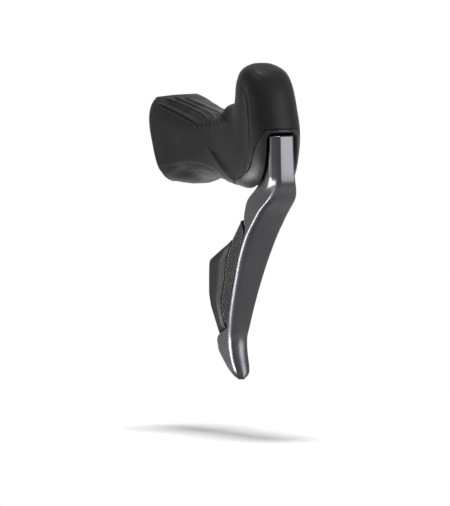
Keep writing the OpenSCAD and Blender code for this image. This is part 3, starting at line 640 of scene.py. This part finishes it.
# Hood
def hood():
    """Rubber shell with its relief, open at the bar, in front and along the lever's slot."""
    plain, facing = form(*HOOD_GRID)
    keep = -np.maximum(np.maximum(seam_sign(plain), bar_sign(plain)), slot_sign(plain))
    shaped = plain + facing * relief(plain)[..., None]
    points, quads = trimmed(shaped, keep)
    thing = mesh_object("hood", points, quads, RUBBER)
    solidify(thing, HOOD_WALL)
    return thing


def mouth_rim():
    """Rigid rim round the mouth, in front of the hood's front edge."""
    plain, facing = form(*RIM_GRID)
    keep = np.minimum(seam_sign(plain) - RIM_GAP, -np.maximum(mouth_sign(plain), slot_sign(plain)))
    keep = np.where(plain[..., 2] < RIM_HIGHEST, keep, -1.0)
    points, quads = trimmed(plain - facing * RIM_SUNK, keep)
    thing = mesh_object("mouth_rim", points, quads, PLASTIC)
    solidify(thing, RIM_WALL)
    return thing


# Brake lever
def near_corners(face, half, head):
    """Corners of the blade's near edge: a flat chamfer at the head, a round below it."""
    back = mixed(head, *NEAR_BACK)
    inward = np.minimum(mixed(head, *NEAR_IN), half * WALL_SHARE)
    corners = []
    for turn in np.radians((0, 30, 60, 90)):
        share = turn / (np.pi / 2)
        depth = back * mixed(head, 1 - math.sin(turn), 1 - share)
        width = inward * mixed(head, 1 - math.cos(turn), share)
        corners.append((face - depth, width - half))
    return corners


def blade():
    """Channel from the head down to the hook, as in part.scad, with softened edges and a flared head."""
    rows = np.array(BLADE_ROWS, float)
    heights = np.linspace(rows[0, 0], rows[-1, 0], BLADE_STEPS)
    front, half, deep, wall = through(-rows[:, 0], rows[:, 1:], -heights).T
    front = eased(front, BLADE_EASE)
    side = np.minimum(BLADE_WALL, half * WALL_SHARE)
    floor_at = front - np.minimum(wall, deep - LEAST_OPEN)
    head, hook = ramp(heights, *HEAD_SPAN), ramp(heights, *HOOK_SPAN)
    lower, upper = HOOK_DEEPER_SPANS
    deep = deep + HEAD_DEEPER * ramp(heights, *HEAD_DEEPER_SPAN)
    deep = deep + HOOK_DEEPER * ramp(heights, *lower) * ramp(heights, *upper)
    far = half + FAR_WIDER * (1 - head) * ramp(heights, *FAR_WIDER_SPAN)
    far_back = mixed(hook, *FAR_EDGE)
    far_in = np.minimum(far_back, half * EDGE_SHARE)
    crown = mixed(hook, *CROWN)
    face, rear = front - crown, front - deep
    edge = near_corners(face, half, head)
    flare_at = edge[0][0] - mixed(head, *FLARE_SHARE) * (edge[0][0] - rear)
    near_in = edge[-1][1] + half
    start, width = near_in - half, half + far - near_in - far_in
    crowned = [(front - crown * (2 * share - 1) ** 2, start + share * width) for share in (0.25, 0.5, 0.75)]
    corners = np.stack([
        (rear, -half - SPLAY * head), (flare_at, -half - FLARE_OUT * head), *edge, *crowned,
        (face, far - far_in), (face - far_back, far), (rear, far),
        (rear, far - side), (floor_at, far - side), (floor_at, side - half), (rear, side - half),
    ]).transpose(2, 0, 1)
    near_soft, far_soft = mixed(head, *NEAR_SOFT), mixed(hook, *FAR_SOFT)
    radii = [REAR_SOFT, FLARE_SOFT, *[near_soft] * len(edge), *[CROWN_SOFT] * len(crowned),
             far_soft, far_soft, REAR_SOFT, LIP_SOFT, FLOOR_SOFT, FLOOR_SOFT, LIP_SOFT]
    radii = np.stack([np.broadcast_to(radius, heights.shape) for radius in radii], -1)
    return lofted("blade", rounded(corners, radii), heights, BLADE, edge=0.35)


def arc(x, z, radius, start, end, steps):
    """Points of an arc in x and z, angles in radians."""
    return [(x + radius * math.cos(a), z + radius * math.sin(a)) for a in np.linspace(start, end, steps)]


def bevelled(thing, width, segments=3):
    """Rounds off a piece's sharp edges by a width in millimetres."""
    change = thing.modifiers.new("edges", "BEVEL")
    change.width = width * MM
    change.segments = segments
    change.limit_method = "ANGLE"
    change.angle_limit = math.radians(40)
    change.harden_normals = True
    return thing


def prism(name, outline, ends, material, place):
    """Solid with a flat outline between two ends; place puts its points in the row frame."""
    count = len(outline)
    points = place(np.array([(a, b, c) for c in ends for a, b in outline]))
    faces = [tuple(range(count)), tuple(range(2 * count - 1, count - 1, -1))]
    faces += [(i, (i + 1) % count, count + (i + 1) % count, count + i) for i in range(count)]
    thing = mesh_object(name, points, faces, material)
    outward(thing)
    return thing


def across_y(points):
    """From an outline's x and z, and y along the solid, to the row frame."""
    return points[:, [0, 2, 1]]


def lever_arm():
    """Arm from the blade over the pivot back to the cam that lifts the push rod."""
    outline = [(WEB_FRONT, WEB_LOW), (WEB_FRONT, WEB_TOP), (PIVOT_X, PIVOT_Z + WEB_HALF),
               (ARM_X + CAM_SHOULDER[0], PIVOT_Z + CAM_SHOULDER[1])]
    outline += arc(ARM_X, PIVOT_Z, CAM_R, math.radians(60), math.radians(270), steps=20)
    outline += [(PIVOT_X, PIVOT_Z - WEB_HALF)]
    return bevelled(prism("lever_arm", outline, (-ARM_HALF_W, ARM_HALF_W), BLADE, across_y), 0.5)


def lever_boss():
    """Round boss about the pivot, bored for the bushes."""
    chamfer = 0.5
    half = ((BUSH_R, BOSS_HALF_W), (BOSS_R - chamfer, BOSS_HALF_W), (BOSS_R, BOSS_HALF_W - chamfer))
    profile = half + tuple((r, -y) for r, y in reversed(half))
    return turned_part("lever_boss", profile, (PIVOT_X, PIVOT_Z), BLADE)


def turned_part(name, profile, centre, material, steps=64):
    """Ring about a line along y, from radius and y pairs."""
    angle = np.linspace(0, 2 * np.pi, steps, endpoint=False)
    x, z = centre
    points = [(x + r * math.cos(a), y, z + r * math.sin(a)) for a in angle for r, y in profile]
    count = len(profile)
    faces = []
    for i in range(steps):
        for j in range(count):
            a, b = i * count + j, i * count + (j + 1) % count
            c, d = ((i + 1) % steps) * count + (j + 1) % count, ((i + 1) % steps) * count + j
            faces.append((a, b, c, d))
    thing = mesh_object(name, points, faces, material)
    outward(thing)
    return bevelled(thing, 0.2, 2)


# Spring above the master piston, as a fixed coil on the body
def master_spring(steps=96, around=10):
    """Coil in the place of the CAD's spring, from its box."""
    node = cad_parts["piston_spring"]
    corners = np.array([node.matrix_world @ Vector(corner) for corner in node.bound_box]) / MM
    low, high = corners.min(0), corners.max(0)
    centre = (low + high) / 2
    radius, long = (high[0] - low[0]) / 2 - SPRING_WIRE, high[2] - low[2]
    share = np.linspace(0, 1, steps)
    angle = 2 * np.pi * SPRING_TURNS * share
    out = np.stack([np.cos(angle), np.sin(angle), 0 * angle], -1)
    path = centre * (1, 1, 0) + out * radius
    path[:, 2] = low[2] + SPRING_WIRE + (long - 2 * SPRING_WIRE) * share
    turn = np.linspace(0, 2 * np.pi, around, endpoint=False)[:, None]
    ring = out[:, None] * np.cos(turn) + np.array((0, 0, 1.0)) * np.sin(turn)
    thing = tube("master_spring", path[:, None] + SPRING_WIRE * ring, STEEL)
    placed(thing, "body", "piston_spring")
    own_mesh(thing)


# Paddles
def turned(a, b, angle):
    """Two coordinates turned by an angle, from the first towards the second."""
    return a * math.cos(angle) - b * math.sin(angle), a * math.sin(angle) + b * math.cos(angle)


def on_paddle(points):
    """From the paddles' own plane, x along, y into it and z up it, to the row frame."""
    about = np.array((PIN[0], 0.0, PIN[2]))
    x, y, z = (points - about).transpose(-1, *range(points.ndim - 1))
    y, z = turned(y, z, PADDLE_LEAN)
    x, y = turned(x, y, PADDLE_TURN)
    return np.stack([x + PIN[0], y + PIN[1] - PADDLE_OUT, z + PIN[2]], -1)


def at_pin(points):
    """From the pin's own frame, z along it, to the row frame."""
    x, y, z = points.T
    z, x = turned(z, x, PIN_LEAN)
    return np.stack([x, y, z], -1) + PIN


def edge_at(edge, heights, soften):
    """Place of an edge at each height, its corners softened over a length in millimetres."""
    x, z = np.array(edge, float).T
    exact = np.interp(-heights, -z, x)
    reach = max(1, int(soften / abs(heights[1] - heights[0])))
    return eased(exact, reach)


def paddle_plate(name, rear_edge, front_edge, touch, soften, rows=300, across=44):
    """Paddle's plate between two edges. Its touch face is raised by touch(x, z, share, width)."""
    heights = np.linspace(rear_edge[0][1], rear_edge[-1][1], rows)
    rear, front = edge_at(rear_edge, heights, soften), edge_at(front_edge, heights, soften)
    front = np.maximum(front, rear + PADDLE_BACK_EDGE)
    width = front - rear
    radius = np.minimum(PADDLE_EDGE, width * EDGE_SHARE)
    share = np.linspace(0, 1, across)[None]
    x = rear[:, None] + radius[:, None] + share * (width - 2 * radius)[:, None]
    z = np.broadcast_to(heights[:, None], x.shape)
    y = -touch(x, z, np.broadcast_to(share, x.shape), width[:, None])
    # Rounds from the touch face to the front and to the rear edge
    turn = np.linspace(0, np.pi / 2, 5)[1:]
    inward, back = radius[:, None] * (1 - np.sin(turn)), radius[:, None] * (1 - np.cos(turn))
    near_front = np.stack([front[:, None] - inward, y[:, -1:] + back], -1)
    near_rear = np.stack([rear[:, None] + inward, y[:, :1] + back], -1)
    # Back of the plate, with a small chamfer along both edges
    cut = PADDLE_BACK_EDGE * np.minimum(1, width)
    side, flat = np.full_like(front, PADDLE_T - PADDLE_BACK_EDGE), np.full_like(front, PADDLE_T)
    behind = [(front, side), (front - cut, flat), (rear + cut, flat), (rear, side)]
    behind = np.stack(behind).transpose(2, 0, 1)
    rings = np.concatenate([np.stack([x, y], -1), near_front, behind, near_rear[:, ::-1]], 1)
    return lofted(name, rings, heights, PADDLE, on_paddle, edge=0.12)


def dotted(x, z, share, width):
    """Staggered raised dots on a slightly sunk face, none near the edges."""
    middle = np.interp(-z, DOT_HEIGHTS, DOT_MIDDLES)
    out = np.full(x.shape, -DOT_SUNK)
    for shift in (0.0, 0.5):
        a = ((z / DOT_ALONG + shift) % 1 - 0.5) * DOT_ALONG / DOT_R
        b = (((x - middle) / DOT_ACROSS + shift) % 1 - 0.5) * DOT_ACROSS / DOT_R
        out += DOT_OUT * np.exp(-(a ** 2 + b ** 2) ** 1.5)
    room = np.minimum(share, 1 - share) * width
    filled = ramp(z, DOTS_FROM, DOTS_FROM - 3) * ramp(z, DOTS_TO, DOTS_TO + 1.5)
    return out * ramp(room, start=0.5, end=1.1) * filled


def smooth_face(x, z, share, width):
    """Slightly crowned face with its high line nearer the front edge."""
    return FACE_OUT * smooth(share / FACE_HIGH) * smooth((1 - share) / (1 - FACE_HIGH)) - FACE_SUNK


def paddle_foot(name, low, high, reach):
    """Barrel round the pin with its arm and its web, as in part.scad."""
    outline = [(-reach, WEB_OUT), (WEB_T - reach, WEB_OUT), (WEB_T - reach, FOOT_OUT), (FOOT_END, FOOT_OUT)]
    outline += arc(0, 0, BARREL_R, -2.4, 2.6, steps=24)
    outline += [(FOOT_END, FOOT_IN), (-reach, FOOT_IN)]
    return bevelled(prism(name, outline, (low, high), PADDLE, at_pin), 0.2, 2)


def placed(thing, body, node):
    """Puts a piece on its body in place of a CAD node."""
    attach(thing, body)
    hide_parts(node)


placed(hood(), "body", "hood_cover")
placed(mouth_rim(), "body", "front_frame")
master_spring()
plain, plain_normals = form(*RIB_GRID)
for number, line in enumerate(RIBS, 1):
    for side, word in ((1.0, "outboard"), (-1.0, "inboard")):
        piece = rib(f"rib_{word}_{number}", line, side, plain, plain_normals)
        placed(piece, "body", "hood_cover")
piece = rib("crown_crease", CROWN_LINE, 1.0, plain, plain_normals, CREASE_PROFILE, CREASE_TO_X)
placed(piece, "body", "hood_cover")
for piece in (blade(), lever_arm(), lever_boss()):
    placed(piece, "lever", "brake_lever")
for piece in (
        paddle_plate("front_plate", FRONT_REAR_EDGE, FRONT_FRONT_EDGE, dotted, soften=1.0),
        paddle_foot("front_foot", low=5.2, high=10.4, reach=5.0)):
    placed(piece, "front_paddle", "front_paddle")
for piece in (
        paddle_plate("rear_plate", REAR_REAR_EDGE, REAR_FRONT_EDGE, smooth_face, soften=1.5),
        paddle_foot("rear_foot", low=-4.6, high=4.6, reach=15.4)):
    placed(piece, "rear_paddle", "rear_paddle")

# CAD nodes that show as they are
SHOWN = {
    "bracket_body": PLASTIC, "clamp_band": STEEL, "band_pins": STEEL, "clamp_yoke": DARK_STEEL,
    "clamp_bolt": STEEL, "lever_axle": STEEL, "axle_bushes": PLASTIC, "axle_screw": DARK_STEEL,
    "reach_screw": DARK_STEEL,
    "push_rod": STEEL, "master_piston": PISTON, "primary_seal": SEAL, "secondary_seal": SEAL,
    "cylinder_plug": DARK_STEEL, "bleed_screw": STEEL, "hose_nut": DARK_STEEL,
    "circuit_board": BOARD, "board_cover": PLASTIC, "cover_screws": STEEL, "port_block": PLASTIC,
    "port_plugs": SEAL, "switch_housing": PLASTIC, "housing_screws": DARK_STEEL, "paddle_pin": STEEL,
    "tact_switches": STEEL, "paddle_springs": STEEL,
}
for node_name, look in SHOWN.items():
    node_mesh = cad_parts[node_name].data
    node_mesh.materials.clear()
    node_mesh.materials.append(look)

# Camera: distance and scale in metres, the picture's size and the place of the row frame's origin in pixels
REACH = 10.0
SCALE = 0.00054
PICTURE = (450, 506)
ORIGIN_AT = (182, 140)
SENSOR = 36.0
MIDDLE = (0.06, 0, 0)
toward, right, up = Vector(TOWARD), Vector(RIGHT), Vector(UP)
camera = bpy.data.objects.new("camera", bpy.data.cameras.new("camera"))
bpy.context.scene.collection.objects.link(camera)
bpy.context.scene.camera = camera
aim = right * (PICTURE[0] / 2 - ORIGIN_AT[0]) * SCALE - up * (PICTURE[1] / 2 - ORIGIN_AT[1]) * SCALE
camera.location = aim + toward * (REACH + Vector(MIDDLE).dot(toward))
camera.rotation_euler = toward.to_track_quat("Z", "Y").to_euler()
camera.data.sensor_width = SENSOR
camera.data.lens = SENSOR * REACH / (PICTURE[1] * SCALE)
camera.data.clip_end = 5 * REACH


# Floor, backdrop and lights: the floor's height, middle and radius, and where its glow starts and is full
FLOOR_Z, FLOOR_X, FLOOR_R = -156.0, 55.0, 300.0
GLOW_FROM, GLOW_TO = 60.0, 200.0


def math_node(nodes, links, operation, *values):
    """Arithmetic on sockets or numbers."""
    node = nodes.new("ShaderNodeMath")
    node.operation = operation
    for socket, value in zip(node.inputs, values):
        if isinstance(value, (int, float)):
            socket.default_value = value
        else:
            links.new(value, socket)
    return node.outputs[0]


def floor():
    """Pale disc that takes the shadow under the part and glows to plain white towards its edge."""
    material, nodes, links, main = shader("floor", (0.8, 0.8, 0.8), 0.9, specular=0.1)
    place = nodes.new("ShaderNodeTexCoord")
    away = nodes.new("ShaderNodeVectorMath")
    away.operation = "DISTANCE"
    away.inputs[1].default_value = (FLOOR_X * MM, 0, FLOOR_Z * MM)
    links.new(place.outputs["Object"], away.inputs[0])
    spread = nodes.new("ShaderNodeMapRange")
    spread.interpolation_type = "SMOOTHSTEP"
    spread.inputs["From Min"].default_value = GLOW_FROM * MM
    spread.inputs["From Max"].default_value = GLOW_TO * MM
    spread.inputs["To Min"].default_value = 0.02
    spread.inputs["To Max"].default_value = 1.0
    links.new(away.outputs["Value"], spread.inputs["Value"])
    glow = nodes.new("ShaderNodeEmission")
    links.new(spread.outputs["Result"], glow.inputs["Strength"])
    both = nodes.new("ShaderNodeAddShader")
    links.new(main.outputs[0], both.inputs[0])
    links.new(glow.outputs[0], both.inputs[1])
    links.new(both.outputs[0], nodes["Material Output"].inputs["Surface"])
    turn = np.linspace(0, 2 * np.pi, 96, endpoint=False)
    rim = [(FLOOR_X + FLOOR_R * math.cos(a), FLOOR_R * math.sin(a), FLOOR_Z) for a in turn]
    return mesh_object("floor", rim, [tuple(range(len(rim)))], material, soft=False)


def lamp(name, place, size, power, target=(0.07, 0, -0.04), only_gloss=False):
    """Rectangular lamp at a place in metres, turned to the part."""
    light = bpy.data.lights.new(name, "AREA")
    light.shape = "RECTANGLE"
    light.size, light.size_y = size
    light.energy = power
    thing = bpy.data.objects.new(name, light)
    bpy.context.scene.collection.objects.link(thing)
    thing.location = place
    way = Vector(place) - Vector(target)
    thing.rotation_euler = way.to_track_quat("Z", "Y").to_euler()
    thing.visible_camera = False
    thing.visible_diffuse = not only_gloss


def white_world(seen=1.0, on_the_part=0.25):
    """World that the camera, metal and glass see as white, while it lights the part less."""
    world = bpy.data.worlds.new("white")
    bpy.context.scene.world = world
    world.use_nodes = True
    nodes, links = world.node_tree.nodes, world.node_tree.links
    path = nodes.new("ShaderNodeLightPath")
    shown = math_node(nodes, links, "MAXIMUM", path.outputs["Is Camera Ray"], path.outputs["Is Glossy Ray"])
    shown = math_node(nodes, links, "MAXIMUM", shown, path.outputs["Is Transmission Ray"])
    strength = math_node(nodes, links, "MULTIPLY_ADD", shown, seen - on_the_part, on_the_part)
    nodes["Background"].inputs["Color"].default_value = (1, 1, 1, 1)
    links.new(strength, nodes["Background"].inputs["Strength"])


floor()
white_world()
lamp("over", place=(0.05, 0.0, 1.1), size=(0.3, 0.3), power=13.5)
lamp("front", place=(1.05, 0.58, 0.22), size=(0.5, 0.8), power=15.0)
lamp("side", place=(-0.38, -0.92, 0.1), size=(0.25, 0.4), power=4.6, only_gloss=True)
lamp("flank", place=(0.25, -0.95, 0.1), size=(0.3, 0.4), power=1.8, only_gloss=True)
lamp("low_side", place=(0.04, -0.19, -0.12), size=(0.17, 0.05), power=1.3, target=(0.08, 0, -0.07),
     only_gloss=True)
bpy.context.scene.view_settings.view_transform = "Standard"
